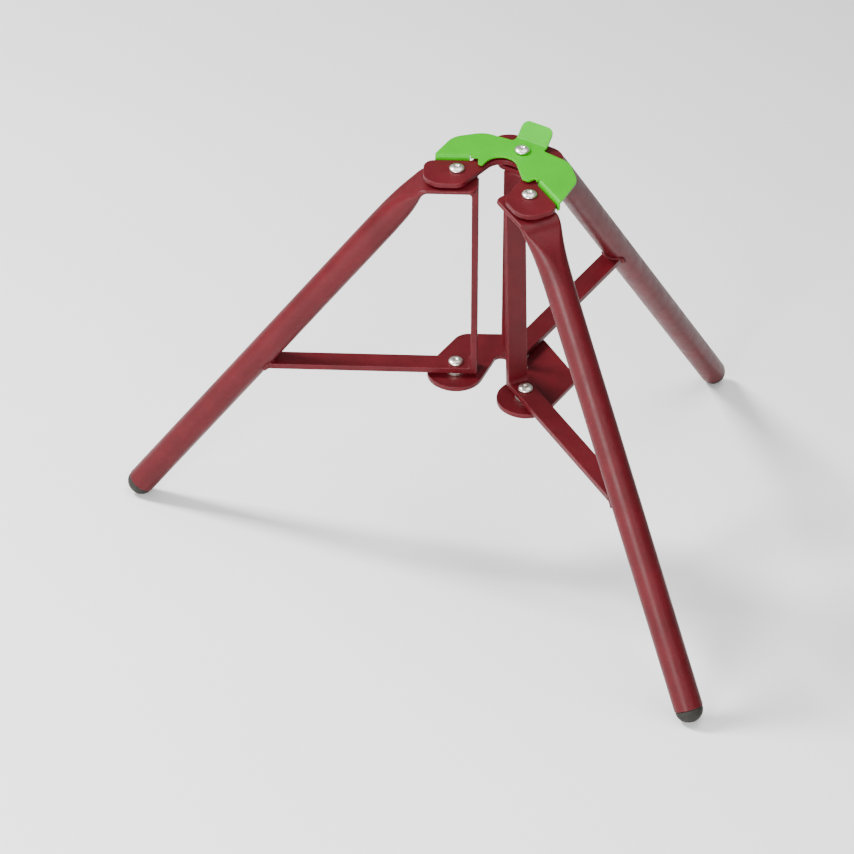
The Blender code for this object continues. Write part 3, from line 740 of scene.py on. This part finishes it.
def bend_tab(shell):
    top = LATCH_BOTTOM + LATCH_THICKNESS
    for vertex in shell.verts:
        distance = vertex.co.y - TAB_CREASE
        if distance <= 0 or abs(vertex.co.x) > TAB_HALF_WIDTH + 0.0005:
            continue
        run, drop = bent(distance, top - vertex.co.z, TAB_BEND_RADIUS, TAB_ANGLE)
        vertex.co.y = TAB_CREASE + run
        vertex.co.z = top + drop


def score(shell, point, normal):
    """Adds an edge line right across the sheet so that it can bend there."""
    geometry = shell.verts[:] + shell.edges[:] + shell.faces[:]
    bmesh.ops.bisect_plane(shell, geom=geometry, plane_co=point, plane_no=normal, dist=1e-6)


def latch_plate():
    hole = circle((0, BACK_PIVOT_Y), HOLE_RADIUS + 0.0005)
    middle = LATCH_BOTTOM + LATCH_THICKNESS / 2
    shell = sheet([latch_outline(), hole], LATCH_THICKNESS, middle, LATCH_EDGE)
    arc = (LATCH_BEND_RADIUS + LATCH_THICKNESS / 2) * math.pi / 2
    for step in range(9):
        place = RIGHT_PIVOT + BEHIND * (BEND_START - arc * step / 8)
        for hand in (1, -1):
            score(shell, (place.x * hand, place.y, 0), (BEHIND.x * hand, BEHIND.y, 0))
    for step in range(7):
        crease = TAB_CREASE + (TAB_BEND_RADIUS + LATCH_THICKNESS / 2) * TAB_ANGLE * step / 6
        score(shell, (0, crease, 0), (0, 1, 0))
    bend_flanges(shell)
    bend_tab(shell)
    add_piece("latch_plate", shell, HEAD, GREEN, "latch")


# ---------------------------------------------------------------- fasteners

def fasteners():
    latch_top = LATCH_BOTTOM + LATCH_THICKNESS + LATCH_PLAY
    for name in SIDES:
        place = HEAD @ Matrix.Translation(pivot(name))
        head_base = latch_top if name == "back" else GAP
        shells = {
            "upper_rivet_": rivet(head_base, TAB_TOP - BAR_THICKNESS - GAP),
            "lower_rivet_": rivet(BRACE_TOP + GAP, LOWER_PLATE_TOP - PLATE_THICKNESS - GAP),
            "upper_washer_": washer(WASHER_RADIUS, HOLE_RADIUS, -PLATE_THICKNESS - GAP, UPPER_WASHER),
            "lower_spacer_": washer(WASHER_RADIUS, HOLE_RADIUS, BRACE_TOP - BAR_THICKNESS - GAP, SPACER)}
        for kind, shell in shells.items():
            add_piece(kind + name, shell, place, ZINC, "head")
    spring = washer(LATCH_WASHER_RADIUS, HOLE_RADIUS, GAP + LATCH_WASHER, LATCH_WASHER)
    add_piece("latch_spring_washer", spring, HEAD @ Matrix.Translation(pivot("back")), ZINC, "head")


# ---------------------------------------------------------------- studio

def add_floor():
    shell = bmesh.new()
    bmesh.ops.create_grid(shell, x_segments=8, y_segments=8, size=6)
    mesh = bpy.data.meshes.new("floor")
    shell.to_mesh(mesh)
    shell.free()
    mesh.materials.append(studio_floor("studio_floor"))
    floor = bpy.data.objects.new("floor", mesh)
    floor.location.z = -0.0005
    bpy.context.scene.collection.objects.link(floor)


def add_light(name, place, aim, size, power, tint=(1, 1, 1)):
    data = bpy.data.lights.new(name, "AREA")
    data.shape = "RECTANGLE"
    data.size, data.size_y = size
    data.energy = power
    data.color = tint
    light = bpy.data.objects.new(name, data)
    light.location = place
    light.rotation_euler = (Vector(aim) - Vector(place)).to_track_quat("-Z", "Y").to_euler()
    bpy.context.scene.collection.objects.link(light)


def add_lights():
    middle = (0, -0.05, 0.2)
    add_light("key", (-2.1, -1.1, 2.6), middle, (0.8, 0.8), 210)
    add_light("fill", (2.4, -2.0, 1.6), middle, (1.6, 1.2), 30)
    add_light("top", (0.3, -0.2, 2.9), middle, (2.0, 2.0), 50)
    add_light("front", (-1.1, -2.8, 0.8), middle, (0.9, 0.9), 30)
    add_light("strip", (0.5, -2.95, 0.85), middle, (0.60, 1.4), 120)
    world = bpy.data.worlds.new("studio")
    world.use_nodes = True
    world.node_tree.nodes["Background"].inputs["Color"].default_value = (1, 1, 1, 1)
    world.node_tree.nodes["Background"].inputs["Strength"].default_value = 0.30
    bpy.context.scene.world = world


def add_camera():
    """The photo's camera: level with the head plates, so it rolls with their lean."""
    forward = Vector((-math.sin(CAMERA_AZIMUTH) * math.cos(CAMERA_ELEVATION),
                      math.cos(CAMERA_AZIMUTH) * math.cos(CAMERA_ELEVATION), -math.sin(CAMERA_ELEVATION)))
    right = Vector((math.cos(CAMERA_AZIMUTH), math.sin(CAMERA_AZIMUTH), 0))
    turn = Matrix((right, right.cross(forward), -forward)).transposed().to_4x4()
    data = bpy.data.cameras.new("camera")
    data.lens = CAMERA_LENS
    data.sensor_width = 36
    data.clip_end = 50
    camera = bpy.data.objects.new("camera", data)
    camera.matrix_world = HEAD @ Matrix.Translation(CAMERA_TARGET - forward * CAMERA_DISTANCE) @ turn
    bpy.context.scene.collection.objects.link(camera)
    bpy.context.scene.camera = camera


# ---------------------------------------------------------------- the whole scene

def build():
    add_camera()
    for name, length in (("left", FRONT_LEG_LENGTH), ("right", FRONT_LEG_LENGTH), ("back", BACK_LEG_LENGTH)):
        leg_tube(name, length)
        leg_bar(name)
        weld_bead(name)
        foot_plug(name, length)
    upper_plate()
    lower_plate()
    latch_plate()
    fasteners()
    add_floor()
    add_lights()


build()
